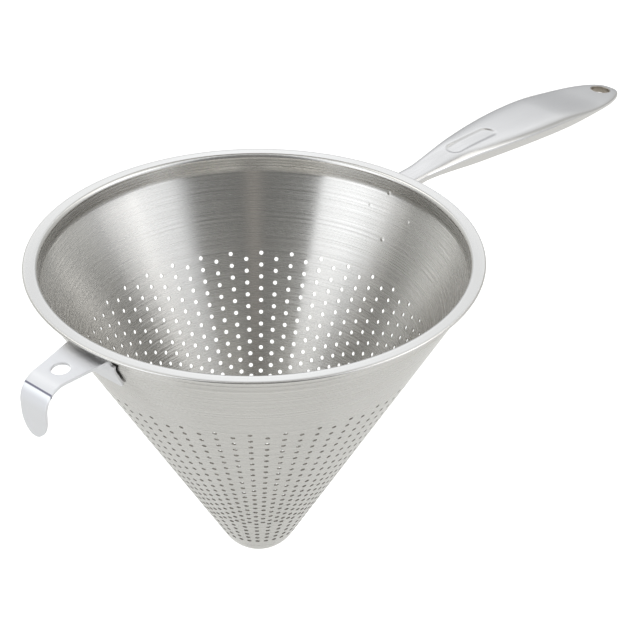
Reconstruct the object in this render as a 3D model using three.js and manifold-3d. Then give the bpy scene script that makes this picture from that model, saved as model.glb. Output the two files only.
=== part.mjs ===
// Conical soup strainer of stainless steel: a perforated cone with a hemmed rim, a pot hook welded to the
// cone on one side and a hollow two-shell handle on a welded bracket on the other.
// Millimetres, +Z up. The origin is on the cone's axis in the plane of the rim's top, the handle points
// along +X and the hook along -X.

import * as THREE from 'three';
import { mergeGeometries, mergeVertices } from 'three/addons/utils/BufferGeometryUtils.js';
import loadManifold from 'manifold-3d';

const wasm = await loadManifold();
wasm.setup();

// Gap that pieces keep where the real ones touch and are welded
const SEAT_GAP = 0.3;

// Cone, collar and rim, one spun sheet
const SHEET = 0.6;
const RIM_RADIUS = 100;
const FLANGE_WIDTH = 6.3;
const RIM_BEND = 1.6;
const HEM_GAP = 0.2;
const HEM_RETURN = 3.6;
const COLLAR_HEIGHT = 8.6;
const COLLAR_BEND = 4;
const CONE_HALF_ANGLE = 29;
const TIP_RADIUS = 19;

// Perforation: staggered columns whose row pitch shortens in three zones towards the tip
const HOLE_COLUMNS = 64;
const HOLE_DIAMETER = 2;
const PUNCH_STRETCH = 2.5;
const FIRST_ROW = 39.2;
const ROW_ZONES = [
  { pitch: 5.65, rows: 10 },
  { pitch: 4.75, rows: 7 },
  { pitch: 4.0, rows: 6 },
];
const SHORT_COLUMN_ROWS = 18;
const CUT_EVERY = 4;

// Pot hook, one bent strip with a pad that fits the cone
const HOOK_SHEET = 1.2;
const HOOK_PAD_TOP = 5;
const HOOK_PAD_LENGTH = 12;
const HOOK_PAD_HALF_TOP = 14;
const HOOK_PAD_HALF_FOOT = 12;
const HOOK_PAD_CORNER = 2;
const HOOK_ROOT_BEND = 2;
const HOOK_SLOPE = 5.7;
const HOOK_DROP = 5;
const HOOK_PLATE_OUT = 17;
const HOOK_BEND = 10;
const HOOK_BEND_TURN = 84;
const HOOK_LEG = 13.5;
const HOOK_HALF_ROOT = 12;
const HOOK_HALF_BEND = 8.2;
const HOOK_HALF_END = 7.4;
const HOOK_END_ROUND = 10;
const HOOK_HOLE_RADIUS = 4;
const HOOK_HOLE_OUT = 11;

// Handle, two pressed shells welded along their seam. Places along it are distances out from the rim's edge
const SHELL_SHEET = 0.8;
const NECK_TUCK = 1.5;
const NECK_LENGTH = 10;
const WIDEST_OUT = 102;
const HANDLE_LENGTH = 168;
const NECK_HALF_WIDTH = 6.3;
const GRIP_HALF_WIDTH = 16.5;
const FLARE_POWER = 1.2;
const END_OVAL_POWER = 2.6;
const END_OVAL_ROOT = 0.47;
const NECK_HALF_HEIGHT = 2;
const CROWN_HEIGHT = 3.75;
const BELLY_HEIGHT = 3.85;
const END_HALF_HEIGHT = 1.6;
const END_BLUNT_POWER = 20;
const END_BLUNT_ROOT = 0.4;
const GRIP_FULL_FROM = 46;
const GRIP_FULL_TO = 103;
const END_THIN_FROM = 141.5;
const CROWN_POWER = 0.48;
const BELLY_POWER = 0.52;
const SEAM_TOP = -3.5;
const SEAM_TOP_OUT = 20;
const SEAM_ARCH_RADIUS = 1030;
const THUMB_START = 36;
const THUMB_END = 70;
const THUMB_WIDTH = 8.4;
const THUMB_DEPTH = 0.7;

// Hanging hole, lined by a short tube
const HANG_END_DISTANCE = 10.5;
const HANG_BORE_RADIUS = 4.6;
const SLEEVE_WALL = 0.6;

// Bracket that carries the handle: a pad on the cone and a tongue inside the neck
const BRACKET_SHEET = 1.2;
const BRACKET_PAD_TOP = 5;
const BRACKET_PAD_LENGTH = 24;
const BRACKET_HALF_TOP = 14;
const BRACKET_HALF_FOOT = 7;
const BRACKET_ROOT_BEND = 1.6;
const TONGUE_LENGTH = 34;
const TONGUE_HALF_WIDTH = 4.2;

// Fineness of the curves
const TURN_SEGMENTS = HOLE_COLUMNS;
const CURVE_ERROR = 0.2;
const ROUND_SEGMENTS = 20;
const SECTION_POINTS = 16;
const STRAIGHT_STATIONS = 10;
const END_STATIONS = 8;

const rad = THREE.MathUtils.degToRad;
const ease = (from, to, u) => from + (to - from) * (1 - Math.cos(Math.PI * THREE.MathUtils.clamp(u, 0, 1))) / 2;

// Solids

// Closed solid of a geometry: equal corners are merged and collapsed triangles left out
function solid(geometry) {
  const bare = geometry.clone();
  for (const name of ['normal', 'uv']) bare.deleteAttribute(name);
  const merged = mergeVertices(bare, 1e-4);
  const corners = merged.index.array;
  const triangles = [];
  for (let i = 0; i < corners.length; i += 3) {
    const [a, b, c] = corners.slice(i, i + 3);
    if (a !== b && b !== c && c !== a) triangles.push(a, b, c);
  }
  const mesh = new wasm.Mesh({
    numProp: 3,
    vertProperties: new Float32Array(merged.attributes.position.array),
    triVerts: new Uint32Array(triangles),
  });
  return new wasm.Manifold(mesh);
}

function geometryOf(body) {
  const { vertProperties, triVerts } = body.getMesh();
  const geometry = new THREE.BufferGeometry();
  geometry.setAttribute('position', new THREE.BufferAttribute(new Float32Array(vertProperties), 3));
  geometry.setIndex(new THREE.BufferAttribute(new Uint32Array(triVerts), 1));
  return geometry;
}

// Full turn of a closed outline of radius and height about the Z axis
function revolved(outline) {
  return solid(new THREE.LatheGeometry([...outline, outline[0]], TURN_SEGMENTS).rotateX(Math.PI / 2));
}

// Prism of an outline in X and Z, as wide as needed to either side of Y = 0
function prismAlongY(outline, halfWidth) {
  const options = { depth: 2 * halfWidth, bevelEnabled: false };
  const geometry = new THREE.ExtrudeGeometry(new THREE.Shape(outline), options);
  return solid(geometry.translate(0, 0, -halfWidth).rotateX(Math.PI / 2));
}

// Prism of an outline in X and Y, from a lower to an upper height
function prismAlongZ(shape, low, high) {
  const options = { depth: high - low, bevelEnabled: false, curveSegments: ROUND_SEGMENTS / 2 };
  return solid(new THREE.ExtrudeGeometry(shape, options).translate(0, 0, low));
}

// Prism of an outline in Y and Z, from one reach along X to another
function prismAlongX(shape, from, to) {
  const options = { depth: to - from, bevelEnabled: false, curveSegments: ROUND_SEGMENTS / 2 };
  const geometry = new THREE.ExtrudeGeometry(shape, options).translate(0, 0, from);
  return solid(geometry.rotateZ(Math.PI / 2).rotateY(Math.PI / 2));
}

// Bent sheet

// Centre line of a bent sheet: straight runs { length } and tangent bends { radius, turn } to the left,
// or to the right with a negative turn, as points with their left-hand normals
function bendLine(start, heading, runs) {
  const place = start.clone();
  let angle = rad(heading);
  const station = () => ({ point: place.clone(), normal: new THREE.Vector2(-Math.sin(angle), Math.cos(angle)) });
  const line = [station()];
  for (const { length, radius, turn } of runs) {
    if (turn === undefined) {
      place.add(new THREE.Vector2(Math.cos(angle), Math.sin(angle)).multiplyScalar(length));
      line.push(station());
      continue;
    }
    const step = 2 * Math.acos(1 - CURVE_ERROR / radius);
    const steps = Math.ceil(Math.abs(rad(turn)) / step);
    const side = Math.sign(turn);
    const centre = place.clone().addScaledVector(station().normal, side * radius);
    for (let i = 0; i < steps; i += 1) {
      angle += rad(turn) / steps;
      place.copy(centre).addScaledVector(station().normal, -side * radius);
      line.push(station());
    }
  }
  return line;
}

const offsetLine = (line, distance) =>
  line.map(({ point, normal }) => ({ point: point.clone().addScaledVector(normal, distance), normal }));

// Closed outline of a sheet of some thickness about its centre line
function sheetOutline(line, thickness) {
  const right = offsetLine(line, -thickness / 2).map(({ point }) => point);
  const left = offsetLine(line, thickness / 2).map(({ point }) => point);
  return [...right, ...left.reverse()];
}

// Cone

const collarRadius = RIM_RADIUS - FLANGE_WIDTH;
const wallTurn = 90 - CONE_HALF_ANGLE;
const flangeMiddle = -SHEET / 2;
const foldRadius = (SHEET + HEM_GAP) / 2;
const collarTangent = COLLAR_BEND * Math.tan(rad(CONE_HALF_ANGLE / 2));
const collarFoot = new THREE.Vector2(collarRadius, -COLLAR_HEIGHT);
const slantDirection = new THREE.Vector2(-Math.sin(rad(CONE_HALF_ANGLE)), -Math.cos(rad(CONE_HALF_ANGLE)));

// Point on the middle of the cone's wall, by its distance down the slant from the collar
const onWall = (slant) => collarFoot.clone().addScaledVector(slantDirection, slant);

const tipTangentRadius = TIP_RADIUS * Math.sin(rad(wallTurn));
const wallLength = (collarRadius - tipTangentRadius) / Math.sin(rad(CONE_HALF_ANGLE));
const tipHeight = onWall(wallLength).y - TIP_RADIUS * (1 - Math.cos(rad(wallTurn)));

function coneSheet() {
  const hemEdge = foldRadius + SHEET / 2;
  return bendLine(new THREE.Vector2(0, tipHeight), 0, [
    { radius: TIP_RADIUS, turn: wallTurn },
    { length: wallLength - collarTangent },
    { radius: COLLAR_BEND, turn: CONE_HALF_ANGLE },
    { length: COLLAR_HEIGHT - collarTangent + flangeMiddle - RIM_BEND },
    { radius: RIM_BEND, turn: -90 },
    { length: FLANGE_WIDTH - RIM_BEND - hemEdge },
    { radius: foldRadius, turn: -180 },
    { length: HEM_RETURN },
  ]);
}

// Distances down the slant of the rows of a full column, and of the short columns between
function holeRows() {
  const full = [FIRST_ROW];
  for (const { pitch, rows } of ROW_ZONES) {
    for (let i = 0; i < rows; i += 1) full.push(full.at(-1) + pitch);
  }
  const between = full.slice(1).map((row, i) => (row + full[i]) / 2);
  return { full, short: between.slice(0, SHORT_COLUMN_ROWS) };
}

// One punch across the wall: a long four-cornered wedge whose middle section is a square of the round
// hole's area
function punch(angle, slant) {
  const corner = (HOLE_DIAMETER / 2) * Math.sqrt(Math.PI / 2);
  const { x: reach, y: height } = onWall(slant);
  const flatReach = reach * Math.cos(Math.PI / TURN_SEGMENTS);
  return new THREE.TetrahedronGeometry(corner * Math.sqrt(3))
    .rotateZ(Math.PI / 4)
    .scale(1, 1, PUNCH_STRETCH)
    .rotateY(Math.PI / 2 + rad(CONE_HALF_ANGLE))
    .translate(flatReach, 0, height)
    .rotateZ(angle);
}

// One hole in CUT_EVERY of each column, stepped from column to column so that the cut ones spread evenly
function punchPattern() {
  const { full, short } = holeRows();
  const punches = [];
  for (let column = 0; column < HOLE_COLUMNS; column += 1) {
    const angle = ((column + 0.5) * 2 * Math.PI) / HOLE_COLUMNS;
    const rows = column % 2 === 0 ? short : full;
    const pairShift = Math.floor(column / 2) * Math.floor(CUT_EVERY / 2);
    const first = (pairShift + column) % CUT_EVERY;
    for (let row = first; row < rows.length; row += CUT_EVERY) punches.push(punch(angle, rows[row]));
  }
  return solid(mergeGeometries(punches));
}

const strainerCone = () => revolved(sheetOutline(coneSheet(), SHEET)).subtract(punchPattern());

// Pads that fit the outside of the cone and its collar

// Sheet laid on the wall from some way down the slant up to a height below the rim
function padRing(slantLength, top, thickness) {
  const line = bendLine(onWall(slantLength), wallTurn, [
    { length: slantLength - collarTangent },
    { radius: COLLAR_BEND, turn: CONE_HALF_ANGLE },
    { length: COLLAR_HEIGHT - collarTangent - top },
  ]);
  return revolved(sheetOutline(offsetLine(line, -padOffset(thickness)), thickness));
}

// From the middle of the cone's sheet to the middle of a sheet seated on it
const padOffset = (thickness) => SHEET / 2 + SEAT_GAP + thickness / 2;

// Outline of a pad in Y and Z: square at its top, narrower and rounded at its foot
function padShape(halfTop, halfFoot, corner, top, foot) {
  const shape = new THREE.Shape();
  shape.moveTo(-halfTop, top);
  shape.lineTo(-halfFoot, foot + corner);
  shape.quadraticCurveTo(-halfFoot, foot, -halfFoot + corner, foot);
  shape.lineTo(halfFoot - corner, foot);
  shape.quadraticCurveTo(halfFoot, foot, halfFoot, foot + corner);
  shape.lineTo(halfTop, top);
  return shape;
}

// Pot hook

const hookRootReach = collarRadius + padOffset(HOOK_SHEET);
const hookReach = RIM_RADIUS + HOOK_PLATE_OUT;
const hookHoleReach = RIM_RADIUS + HOOK_HOLE_OUT;
const hookAngle = rad(HOOK_SLOPE);
const hookHeight = (reach) => -HOOK_DROP - (reach - RIM_RADIUS) * Math.tan(hookAngle);

// Centre line of the strip from the top of its pad out under the rim, down round the bend and the leg
function hookStrip() {
  const rootTurn = 90 + HOOK_SLOPE;
  const rise = HOOK_ROOT_BEND * Math.sin(rad(rootTurn));
  const plateStart = hookRootReach + HOOK_ROOT_BEND * (1 - Math.cos(rad(rootTurn)));
  const riseStart = hookHeight(plateStart) - rise;
  const overlap = HOOK_SHEET;
  return bendLine(new THREE.Vector2(hookRootReach, riseStart - overlap), 90, [
    { length: overlap },
    { radius: HOOK_ROOT_BEND, turn: -rootTurn },
    { length: (hookReach - plateStart) / Math.cos(hookAngle) },
    { radius: HOOK_BEND, turn: -HOOK_BEND_TURN },
    { length: HOOK_LEG },
  ]);
}

// Width of the strip seen from above, tapering from its root to its bend
function hookPlan(farReach) {
  const shape = new THREE.Shape();
  shape.moveTo(collarRadius, -HOOK_HALF_ROOT);
  shape.lineTo(hookReach, -HOOK_HALF_BEND);
  shape.lineTo(farReach, -HOOK_HALF_BEND);
  shape.lineTo(farReach, HOOK_HALF_BEND);
  shape.lineTo(hookReach, HOOK_HALF_BEND);
  shape.lineTo(collarRadius, HOOK_HALF_ROOT);
  return shape;
}

// Width of the leg seen from the front, tapering to a long round end
function hookFront(foot) {
  const shape = new THREE.Shape();
  const roundStart = foot + HOOK_END_ROUND;
  const bendTop = hookHeight(hookReach) - HOOK_SHEET;
  shape.moveTo(HOOK_HALF_ROOT, 0);
  shape.lineTo(-HOOK_HALF_ROOT, 0);
  shape.lineTo(-HOOK_HALF_ROOT, bendTop);
  shape.lineTo(-HOOK_HALF_BEND, bendTop);
  shape.lineTo(-HOOK_HALF_END, roundStart);
  shape.absellipse(0, roundStart, HOOK_HALF_END, HOOK_END_ROUND, Math.PI, 2 * Math.PI, false);
  shape.lineTo(HOOK_HALF_BEND, bendTop);
  shape.lineTo(HOOK_HALF_ROOT, bendTop);
  return shape;
}

// Built towards +X and turned half round at the end
function potHook() {
  const strip = hookStrip();
  const { point: legEnd } = strip.at(-1);
  const farReach = legEnd.x + 2 * HOOK_SHEET;
  const hole = new THREE.CylinderGeometry(HOOK_HOLE_RADIUS, HOOK_HOLE_RADIUS, 6 * HOOK_SHEET, ROUND_SEGMENTS)
    .rotateX(Math.PI / 2)
    .rotateY(hookAngle)
    .translate(hookHoleReach, 0, hookHeight(hookHoleReach));
  const blade = prismAlongY(sheetOutline(strip, HOOK_SHEET), HOOK_HALF_ROOT + HOOK_SHEET)
    .intersect(prismAlongZ(hookPlan(farReach), legEnd.y - HOOK_SHEET, 0))
    .intersect(prismAlongX(hookFront(legEnd.y), 0, farReach))
    .subtract(solid(hole));
  const padFoot = onWall(HOOK_PAD_LENGTH).y;
  const pad = padRing(HOOK_PAD_LENGTH + HOOK_PAD_CORNER, HOOK_PAD_TOP, HOOK_SHEET).intersect(prismAlongX(
    padShape(HOOK_PAD_HALF_TOP, HOOK_PAD_HALF_FOOT, HOOK_PAD_CORNER, 0, padFoot), 0, RIM_RADIUS));
  return blade.add(pad).rotate([0, 0, 180]);
}

// Handle

const neckStart = RIM_RADIUS - NECK_TUCK;
const neckEnd = RIM_RADIUS + NECK_LENGTH;
const widest = RIM_RADIUS + WIDEST_OUT;
const handleEnd = RIM_RADIUS + HANDLE_LENGTH;
const hangReach = handleEnd - HANG_END_DISTANCE;
const seamTopReach = RIM_RADIUS + SEAM_TOP_OUT;

const seamHeight = (reach) => SEAM_TOP - (reach - seamTopReach) ** 2 / (2 * SEAM_ARCH_RADIUS);

// Share of the way from one place to another, each counted out from the rim
const shareOut = (reach, from, to) => THREE.MathUtils.clamp((reach - RIM_RADIUS - from) / (to - from), 0, 1);

// Half width, and half height above or below the seam, of the handle's body drawn in by an inset
function handleHalfWidth(reach, inset) {
  const neck = NECK_HALF_WIDTH - inset;
  const grip = GRIP_HALF_WIDTH - inset;
  const flare = Math.sin((Math.PI / 2) * shareOut(reach, NECK_LENGTH, WIDEST_OUT)) ** FLARE_POWER;
  const along = shareOut(reach, WIDEST_OUT, HANDLE_LENGTH - inset);
  return (neck + (grip - neck) * flare) * (1 - along ** END_OVAL_POWER) ** END_OVAL_ROOT;
}

function handleHalfHeight(reach, inset, full) {
  const rise = ease(NECK_HALF_HEIGHT, full, shareOut(reach, NECK_LENGTH, GRIP_FULL_FROM));
  const fall = ease(0, full - END_HALF_HEIGHT, shareOut(reach, GRIP_FULL_TO, END_THIN_FROM));
  const along = shareOut(reach, WIDEST_OUT, HANDLE_LENGTH - inset);
  return (rise - fall - inset) * (1 - along ** END_BLUNT_POWER) ** END_BLUNT_ROOT;
}

// Section across the handle: a squared oval, its belly a little deeper and rounder than its crown
function handleSection(reach, inset) {
  const halfWidth = handleHalfWidth(reach, inset);
  const crown = handleHalfHeight(reach, inset, CROWN_HEIGHT);
  const belly = handleHalfHeight(reach, inset, BELLY_HEIGHT);
  const bulge = (value, power) => Math.sign(value) * Math.abs(value) ** power;
  return Array.from({ length: SECTION_POINTS }, (_, i) => {
    const turn = (2 * Math.PI * i) / SECTION_POINTS;
    const above = Math.sin(turn) >= 0;
    const power = above ? CROWN_POWER : BELLY_POWER;
    const y = halfWidth * bulge(Math.cos(turn), power);
    const z = seamHeight(reach) + (above ? crown : belly) * bulge(Math.sin(turn), power);
    return new THREE.Vector3(reach, y, z);
  });
}

// Closed skin over rings of equal count, each end closed by a fan round its middle
function loft(rings) {
  const count = rings[0].length;
  const middle = (ring) => ring.reduce((sum, point) => sum.add(point), new THREE.Vector3()).divideScalar(count);
  const points = [...rings.flat(), middle(rings[0]), middle(rings.at(-1))];
  const triangles = [];
  const last = (rings.length - 1) * count;
  for (let i = 0; i < count; i += 1) {
    const next = (i + 1) % count;
    for (let row = 0; row < last; row += count) {
      triangles.push(row + i, row + next, row + count + next, row + i, row + count + next, row + count + i);
    }
    triangles.push(last + count, next, i, last + count + 1, last + i, last + next);
  }
  return solid(new THREE.BufferGeometry().setFromPoints(points).setIndex(triangles));
}

function handleBody(start, inset) {
  const end = handleEnd - inset;
  const straight = Array.from({ length: STRAIGHT_STATIONS }, (_, i) =>
    THREE.MathUtils.lerp(neckEnd, widest, i / STRAIGHT_STATIONS));
  const round = Array.from({ length: END_STATIONS + 1 }, (_, i) =>
    widest + (end - widest) * Math.sin((Math.PI / 2) * (i / END_STATIONS)));
  return loft([start, ...straight, ...round].map((reach) => handleSection(reach, inset)));
}

// Space on one side of the seam, from half a gap away
function seamSide(side) {
  const reaches = Array.from({ length: 2 * STRAIGHT_STATIONS + 1 }, (_, i) =>
    THREE.MathUtils.lerp(neckStart - GRIP_HALF_WIDTH, handleEnd + GRIP_HALF_WIDTH, i / (2 * STRAIGHT_STATIONS)));
  const seam = reaches.map((reach) => new THREE.Vector2(reach, seamHeight(reach) + side * SEAT_GAP / 2));
  const depth = 4 * BELLY_HEIGHT + SEAM_ARCH_RADIUS / 20;
  const ends = [reaches.at(-1), reaches[0]].map((reach) => new THREE.Vector2(reach, side * depth));
  const outline = [...seam, ...ends];
  return prismAlongY(side > 0 ? outline : outline.reverse(), 2 * GRIP_HALF_WIDTH);
}

// Body with the thumb recess: its top is lowered inside a slot with round ends, grown for the sheet's inner face
function thumbPressed(body, grow) {
  const radius = THUMB_WIDTH / 2 + grow;
  const start = RIM_RADIUS + THUMB_START + THUMB_WIDTH / 2;
  const end = RIM_RADIUS + THUMB_END - THUMB_WIDTH / 2;
  const shape = new THREE.Shape();
  shape.absarc(end, 0, radius, -Math.PI / 2, Math.PI / 2, false);
  shape.absarc(start, 0, radius, Math.PI / 2, 1.5 * Math.PI, false);
  const slot = prismAlongZ(shape, seamHeight(end), CROWN_HEIGHT);
  return body.subtract(slot.subtract(body.translate([0, 0, -THUMB_DEPTH])));
}

// Round bar through the handle at the hanging hole, square to the seam
function hangBar(radius, halfLength) {
  const slope = (hangReach - seamTopReach) / SEAM_ARCH_RADIUS;
  return solid(new THREE.CylinderGeometry(radius, radius, 2 * halfLength, ROUND_SEGMENTS)
    .rotateX(Math.PI / 2)
    .rotateY(Math.atan(slope))
    .translate(hangReach, 0, seamHeight(hangReach)));
}

const sleeveRadius = HANG_BORE_RADIUS + SLEEVE_WALL;

function handleShell(side) {
  const cavity = thumbPressed(handleBody(neckStart - SHELL_SHEET, SHELL_SHEET), SHELL_SHEET);
  const hollow = thumbPressed(handleBody(neckStart, 0), 0).subtract(cavity);
  const hangHole = hangBar(sleeveRadius + SEAT_GAP, 4 * CROWN_HEIGHT);
  return hollow.subtract(hangHole).intersect(seamSide(side));
}

function hangingSleeve() {
  const halfLength = handleHalfHeight(hangReach, 0, CROWN_HEIGHT);
  return hangBar(sleeveRadius, halfLength).subtract(hangBar(HANG_BORE_RADIUS, 2 * halfLength));
}

// Bracket

function handleBracket() {
  const rootReach = collarRadius + padOffset(BRACKET_SHEET);
  const tongueHeight = seamHeight(neckStart);
  const overlap = BRACKET_SHEET;
  const strip = bendLine(new THREE.Vector2(rootReach, tongueHeight - BRACKET_ROOT_BEND - overlap), 90, [
    { length: overlap },
    { radius: BRACKET_ROOT_BEND, turn: -90 },
    { length: RIM_RADIUS + TONGUE_LENGTH - rootReach - BRACKET_ROOT_BEND },
  ]);
  const tongue = prismAlongY(sheetOutline(strip, BRACKET_SHEET), TONGUE_HALF_WIDTH);
  const padFoot = onWall(BRACKET_PAD_LENGTH).y;
  const shape = padShape(BRACKET_HALF_TOP, BRACKET_HALF_FOOT, BRACKET_HALF_FOOT, 0, padFoot);
  const pad = padRing(BRACKET_PAD_LENGTH + BRACKET_SHEET, BRACKET_PAD_TOP, BRACKET_SHEET);
  return pad.intersect(prismAlongX(shape, 0, RIM_RADIUS)).add(tongue);
}

// Assembly

const steel = (colour, roughness) => new THREE.MeshStandardMaterial({ color: colour, metalness: 1, roughness });

function part(name, body, material) {
  const mesh = new THREE.Mesh(geometryOf(body), material);
  mesh.name = name;
  return mesh;
}

const strainer = new THREE.Group();
strainer.add(part('strainer_cone', strainerCone(), steel(0xc6c7c5, 0.32)));
strainer.add(part('pot_hook', potHook(), steel(0xd2d4d6, 0.3)));
strainer.add(part('handle_upper_shell', handleShell(1), steel(0xd4d6da, 0.38)));
strainer.add(part('handle_lower_shell', handleShell(-1), steel(0xcfd1d4, 0.38)));
strainer.add(part('hanging_sleeve', hangingSleeve(), steel(0xc4c2bc, 0.35)));
strainer.add(part('handle_bracket', handleBracket(), steel(0xc8c9c9, 0.4)));

export default strainer;
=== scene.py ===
"""Looks of a conical soup strainer of stainless steel: the fully perforated cone with its hemmed rim, the pot
hook, the hollow handle, its sleeve and its bracket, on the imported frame. Sizes are in millimetres."""

import bpy
import numpy as np
from mathutils import Matrix


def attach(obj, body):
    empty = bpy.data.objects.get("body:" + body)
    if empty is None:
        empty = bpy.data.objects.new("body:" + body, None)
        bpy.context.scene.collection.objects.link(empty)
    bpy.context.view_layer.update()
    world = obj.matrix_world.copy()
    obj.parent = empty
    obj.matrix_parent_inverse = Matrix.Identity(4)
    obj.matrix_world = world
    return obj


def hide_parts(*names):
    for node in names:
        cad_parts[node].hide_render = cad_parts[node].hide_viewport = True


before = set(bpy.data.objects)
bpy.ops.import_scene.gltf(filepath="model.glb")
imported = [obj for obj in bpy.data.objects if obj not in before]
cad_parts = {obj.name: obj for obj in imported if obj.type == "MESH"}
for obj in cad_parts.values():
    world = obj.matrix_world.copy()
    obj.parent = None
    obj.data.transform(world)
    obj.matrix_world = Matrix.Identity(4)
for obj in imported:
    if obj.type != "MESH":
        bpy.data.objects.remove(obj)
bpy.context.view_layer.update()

MM = 0.001
SEAT_GAP = 0.3
SHARP_EDGE = np.radians(35)
BEVELLED_EDGE = np.radians(50)

# Cone, collar and rim
SHEET = 0.6
RIM_RADIUS = 100.0
FLANGE_WIDTH = 6.3
RIM_BEND = 1.6
HEM_GAP = 0.2
HEM_RETURN = 3.6
COLLAR_HEIGHT = 8.6
COLLAR_BEND = 4.0
HALF_ANGLE = np.radians(29.0)
TIP_RADIUS = 19.0

# Steps along the cone's profile on each run from the tip to the hem, and on the wall above the holes
RUN_STEPS = [12, 0, 6, 4, 8, 4, 10, 4]
STEPS_ABOVE_HOLES = 12

# Perforation
COLUMNS = 64
HOLE_RADIUS = 1.0
FIRST_ROW = 39.2
ROW_PITCHES = np.repeat([5.65, 4.75, 4.0], [10, 7, 6])
SHORT_COLUMN_ROWS = 18

# Pot hook
HOOK_SHEET = 1.2
HOOK_PAD_LENGTH = 12.0
HOOK_PAD_HALF_TOP = 13.6
HOOK_PAD_HALF_FOOT = 12.0
HOOK_PAD_CORNER = 2.0
HOOK_PAD_HUG = 0.35
HOOK_ROOT_BEND = 2.0
HOOK_SLOPE = np.radians(5.7)
HOOK_DROP = 5.0
HOOK_REACH = 117.0
HOOK_BEND = 10.0
HOOK_TURN = np.radians(84.0)
HOOK_LEG = 13.5
HOOK_HALF_ROOT = 12.0
HOOK_HALF_BEND = 8.2
HOOK_HALF_END = 7.4
HOOK_SHOULDER = 0.01
HOOK_END_ROUND = 10.0
HOOK_END_SWEEP = np.radians(88)
HOOK_HOLE_RADIUS = 4.0
HOOK_HOLE_REACH = 111.0
HOOK_HOLE_WINDOW = 6.6
HOOK_CREASE_REACH = 123.2
HOOK_EDGE_ROUND = 0.25

# Handle
SHELL_SHEET = 0.8
NECK_START = 98.5
NECK_END = 110.0
WIDEST = 202.0
HANDLE_END = 267.8
NECK_HALF_WIDTH = 6.3
GRIP_HALF_WIDTH = 16.5
FLARE_POWER = 1.2
END_OVAL_POWER = 2.6
END_OVAL_ROOT = 0.47
NECK_HALF_HEIGHT = 2.0
CROWN_HEIGHT = 3.75
BELLY_HEIGHT = 3.85
END_HALF_HEIGHT = 1.6
END_BLUNT_POWER = 20.0
END_BLUNT_ROOT = 0.4
GRIP_FULL_FROM = 146.0
GRIP_FULL_TO = 203.0
END_THIN_FROM = 241.5
CROWN_SQUARENESS = 4.15
BELLY_SQUARENESS = 3.85
SEAM_TOP = -3.5
SEAM_TOP_REACH = 120.0
SEAM_ARCH_RADIUS = 1030.0
THUMB_START = 132.0
THUMB_END = 166.8
THUMB_HALF_WIDTH = 5.4
THUMB_DEPTH = 0.5
THUMB_EDGE = 2.6
HANDLE_SECTIONS = 190
HANDLE_END_SECTIONS = 90
HANDLE_SECTION_POINTS = 144

# Hanging hole
HANG_REACH = 257.5
HANG_BORE_RADIUS = 4.6
SLEEVE_WALL = 0.6
SLEEVE_CLEARANCE = 0.05
SLEEVE_SUNK = 0.02
SLEEVE_SIDES = 96
HOLE_BAR_HALF = 15.0

# Bracket
BRACKET_SHEET = 1.2
BRACKET_PAD_LENGTH = 24.0
BRACKET_HALF_TOP = 14.0
BRACKET_HALF_FOOT = 7.0
BRACKET_ROOT_BEND = 1.6
TONGUE_END = 134.0
TONGUE_HALF_WIDTH = 4.2
BRACKET_EDGE_ROUND = 0.2

# Camera, from the photograph
FRAME_PIXELS = 640
SENSOR_WIDTH = 36.0
FOCAL_PIXELS = 1917.8
CAMERA_DISTANCE = 831.1
CAMERA_ELEVATION = np.radians(30.2)
HANDLE_AZIMUTH = np.radians(44.6)
RIM_CENTRE_PIXEL = np.array([255.8, 252.75])
CAMERA_ROLL = np.radians(0.87)

# Light from the room on the camera's side, by degrees to the right of the camera, with its level and colour
DIM, CLEAR, WARM = (0.98, 1.0, 1.0), (0.97, 1.0, 1.05), (1.03, 0.98, 0.93)
BRIGHTEST = 2.0
NEAR_LIGHT = [
    (-150, 0.88, DIM), (-132, 0.88, DIM), (-115, 0.76, DIM), (-101, 0.54, DIM), (-93, 0.44, DIM),
    (-84, 0.7, CLEAR), (-76, 1.42, CLEAR), (-68, 1.86, CLEAR), (-60, 1.9, CLEAR), (-46, 1.62, CLEAR),
    (-39.5, 1.4, CLEAR), (-37, 0.21, DIM), (-8, 0.21, DIM), (0, 0.37, WARM), (8, 0.21, DIM), (35, 0.21, DIM),
    (39.5, 0.55, CLEAR), (48, 1.28, CLEAR), (58, 1.33, CLEAR), (67, 1.27, CLEAR), (76, 1.1, CLEAR),
    (84, 0.95, CLEAR), (93, 0.8, CLEAR), (109, 0.86, DIM), (126, 0.68, DIM), (150, 0.6, DIM),
]

# Light from the room beyond the object, by degrees above the horizon
FAR_LIGHT = [
    (-6, 0.45, DIM), (2, 0.58, CLEAR), (8, 0.72, CLEAR), (13, 0.74, CLEAR), (18.5, 0.95, CLEAR),
    (21, 1.12, CLEAR), (24, 1.3, CLEAR), (28, 1.45, CLEAR), (33, 1.42, CLEAR), (38, 1.15, CLEAR),
    (45, 0.6, DIM), (52, 0.25, WARM), (75, 0.22, WARM),
]
FAR_FROM = np.radians(140)
FAR_FULL = np.radians(172)

# Soft lamps, by degrees to the right of the camera and above the horizon, size in metres and power in watts
LAMPS = [
    ("softbox_left", -91, 34, 0.4, 0.5, 0.5),
    ("softbox_right", 88, 42, 0.6, 0.6, 1.8),
    ("softbox_high_left", -132, 52, 0.9, 0.45, 1.4),
    ("softbox_high_right", 132, 52, 0.9, 0.45, 1.4),
]
LAMP_DISTANCE = 1.3

# Floor, in metres, with its glow to the camera and to mirrors near the object and away from it
FLOOR_SIZE = 6.0
FLOOR_HEIGHT = -0.30
FLOOR_COLOUR = (0.8, 0.795, 0.77)
FLOOR_SEEN_GLOW = 0.5
FLOOR_MIRROR_GLOW = (0.19, 0.2)
FLOOR_GLOW_REACH = (0.2, 0.6)

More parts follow.
